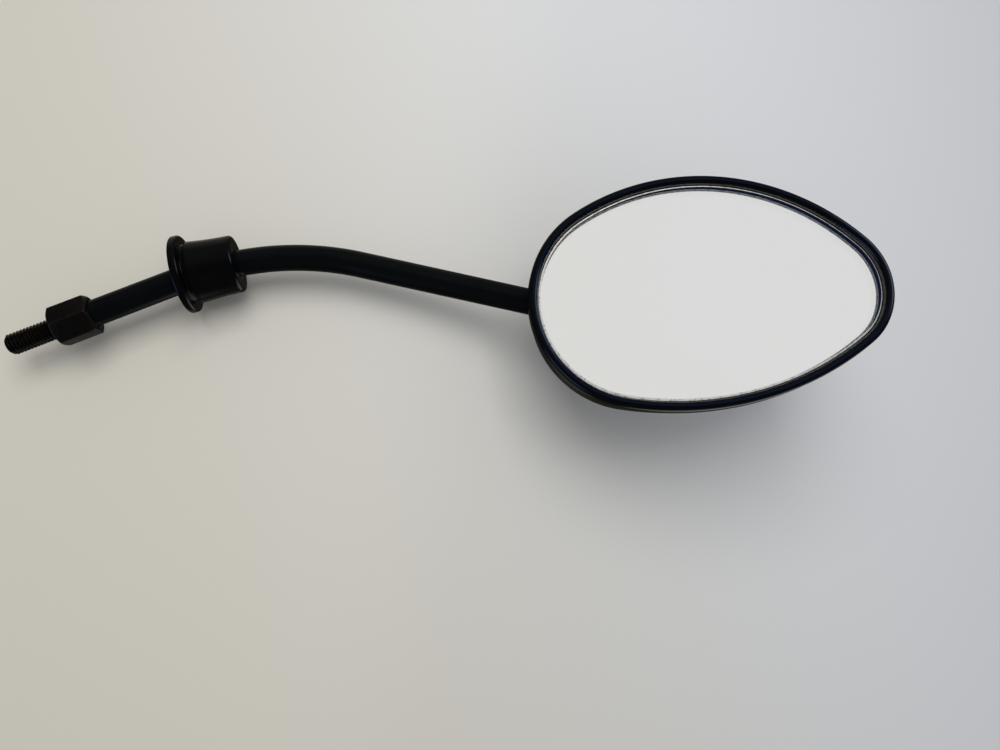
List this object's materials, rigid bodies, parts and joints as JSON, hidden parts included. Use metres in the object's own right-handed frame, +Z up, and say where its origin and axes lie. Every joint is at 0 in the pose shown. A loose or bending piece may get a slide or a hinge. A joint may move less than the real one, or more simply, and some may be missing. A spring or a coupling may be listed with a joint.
{
  "type": "motorcycle mirror",
  "caption": "Right-hand motorcycle mirror: egg-shaped convex glass in a rimmed black housing, aimed on a ball joint, on a bent stem with a sliding rubber boot, hexagon and threaded stud.",
  "frame": {"origin": "where the stud's axis meets the hexagon's lower face, which seats on the bracket", "axes": "+Z up the stem away from the stud, +X the way the stem bends, -Y the way the glass looks"},
  "size_m": [0.1477, 0.0345, 0.3096],
  "materials": {
    "blackened_steel": "dull brown-black oxide over turned and drawn steel",
    "black_paint": "gloss black powder coat",
    "plated_steel": "bright zinc plate",
    "black_rubber": "moulded satin black",
    "rim_plastic": "polished black",
    "mirror_glass": "clear glass silvered on its back",
    "foam": "open-cell foam sheet",
    "housing_plastic": "semi-gloss black moulding",
    "nylon": "natural nylon",
    "spring_steel": "oil-blackened spring steel"
  },
  "bodies": {
    "stem": {"hex_adapter": "blackened_steel", "stem": "black_paint", "ball_stud": "plated_steel"},
    "boot": {"rubber_boot": "black_rubber"},
    "rear_seat": {"rear_ball_seat": "nylon"},
    "front_seat": {"front_ball_seat": "nylon"},
    "head": {"back_shell": "housing_plastic", "bezel": "rim_plastic", "mirror_glass": "mirror_glass", "foam_pad": "foam", "clamp_plate": "plated_steel", "clamp_screws": "plated_steel", "spring_washers": "spring_steel"}
  },
  "joints": [
    {"name": "boot_travel", "type": "hinge", "parent": "stem", "child": "boot", "pos_m": [0.108, 0, 0.049], "axis": [0, 1, 0], "range_deg": [-11, 25]},
    {"name": "head_spin", "type": "hinge", "parent": "stem", "child": "rear_seat", "pos_m": [0.07448, 0, 0.1866], "axis": [0.5878, 0, 0.809], "continuous": true},
    {"name": "head_tilt", "type": "hinge", "parent": "rear_seat", "child": "front_seat", "pos_m": [0.07448, 0, 0.1866], "axis": [0.809, 0, -0.5878], "range_deg": [-10, 10]},
    {"name": "head_swing", "type": "hinge", "parent": "front_seat", "child": "head", "pos_m": [0.07448, 0, 0.1866], "axis": [0, -1, 0], "range_deg": [-12, 12]}
  ]
}
